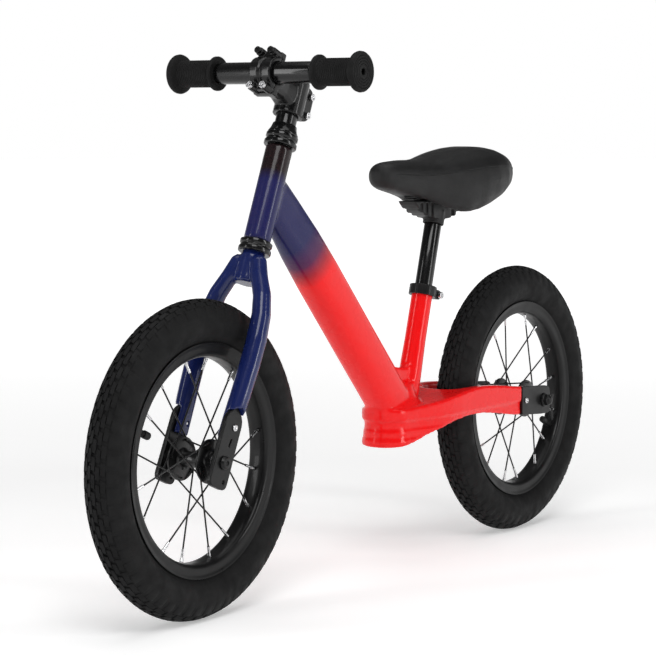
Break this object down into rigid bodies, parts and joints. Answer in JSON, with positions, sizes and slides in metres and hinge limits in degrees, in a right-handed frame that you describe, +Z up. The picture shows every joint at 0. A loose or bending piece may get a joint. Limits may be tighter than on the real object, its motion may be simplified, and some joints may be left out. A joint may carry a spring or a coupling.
{
  "type": "balance bike",
  "caption": "Child's pedal-less balance bike with a one-piece cast frame and footrest, spoked wheels, a turning fork and handlebar, and a height-adjustable saddle.",
  "frame": {"origin": "on the ground in the centre plane, midway between the two axles", "axes": "-Y is the way the bike rides, +X is its left side, +Z is up"},
  "size_m": [0.263, 1.064, 0.6408],
  "materials": {
    "frame_paint": "glossy red paint that fades through purple to navy and black at the head",
    "fork_paint": "glossy navy paint",
    "black_metal": "satin black",
    "black_gloss": "gloss black",
    "stem_black": "satin black anodised",
    "rim_black": "semi-gloss black",
    "hub_black": "semi-gloss black",
    "spoke_black": "black spokes with bright nipples",
    "steel": "bright plated",
    "black_plastic": "matt black",
    "saddle_plastic": "moulded, ribbed",
    "saddle_cover": "black leatherette, fine grain",
    "grip_rubber": "ribbed rubber",
    "valve_rubber": "smooth rubber",
    "tyre": "black block-tread tyre with smooth sidewalls"
  },
  "bodies": {
    "frame": {"frame": "frame_paint", "rear_dropout_left": "black_metal", "rear_dropout_right": "black_metal", "rear_dropout_screw_left": "steel", "rear_dropout_screw_right": "steel", "headset_upper_cup": "black_gloss", "headset_lower_cup": "black_gloss", "seat_clamp": "black_metal", "seat_clamp_bolt": "steel", "rear_axle": "steel", "rear_axle_nut_left": "black_metal", "rear_axle_nut_right": "black_metal"},
    "steering": {"fork": "fork_paint", "fork_dropout_left": "black_metal", "fork_dropout_right": "black_metal", "fork_dropout_screw_left": "steel", "fork_dropout_screw_right": "steel", "front_axle": "steel", "front_axle_bolt_left": "black_metal", "front_axle_bolt_right": "black_metal", "headset_cone": "black_gloss", "stem": "stem_black", "stem_faceplate": "stem_black", "faceplate_bolt_upper_left": "black_metal", "faceplate_bolt_upper_right": "black_metal", "faceplate_bolt_lower_left": "steel", "faceplate_bolt_lower_right": "steel", "pinch_bolt_1": "steel", "pinch_bolt_2": "steel", "steerer_cap": "black_plastic"},
    "handlebar": {"handlebar": "black_gloss", "grip_left": "grip_rubber", "grip_right": "grip_rubber"},
    "front_wheel": {"front_tyre": "tyre", "front_rim": "rim_black", "front_valve": "valve_rubber", "front_valve_cap": "black_plastic", "front_hub": "hub_black", "front_spokes_left": "spoke_black", "front_spokes_right": "spoke_black", "front_bearing_left": "steel", "front_bearing_right": "steel"},
    "rear_wheel": {"rear_tyre": "tyre", "rear_rim": "rim_black", "rear_valve": "valve_rubber", "rear_valve_cap": "black_plastic", "rear_hub": "hub_black", "rear_spokes_left": "spoke_black", "rear_spokes_right": "spoke_black", "rear_bearing_left": "steel", "rear_bearing_right": "steel"},
    "seat": {"seat_post": "black_gloss", "saddle_bracket": "saddle_plastic", "saddle_bolt": "black_metal", "saddle_base": "saddle_plastic", "saddle_pad": "saddle_cover"}
  },
  "joints": [
    {"name": "steering", "type": "hinge", "parent": "frame", "child": "steering", "pos_m": [0, -0.2397, 0.41], "axis": [0, 0.3891, 0.9212], "range_deg": [-90, 90]},
    {"name": "handlebar_roll", "type": "hinge", "parent": "steering", "child": "handlebar", "pos_m": [0, -0.21384, 0.61], "axis": [1, 0, 0], "range_deg": [-30, 30]},
    {"name": "front_wheel_spin", "type": "hinge", "parent": "steering", "child": "front_wheel", "pos_m": [0, -0.352, 0.18], "axis": [1, 0, 0], "continuous": true},
    {"name": "rear_wheel_spin", "type": "hinge", "parent": "frame", "child": "rear_wheel", "pos_m": [0, 0.352, 0.18], "axis": [1, 0, 0], "continuous": true},
    {"name": "seat_height", "type": "slide", "parent": "frame", "child": "seat", "axis": [0, 0.2773, 0.9608], "range_m": [-0.065, 0.03]}
  ]
}
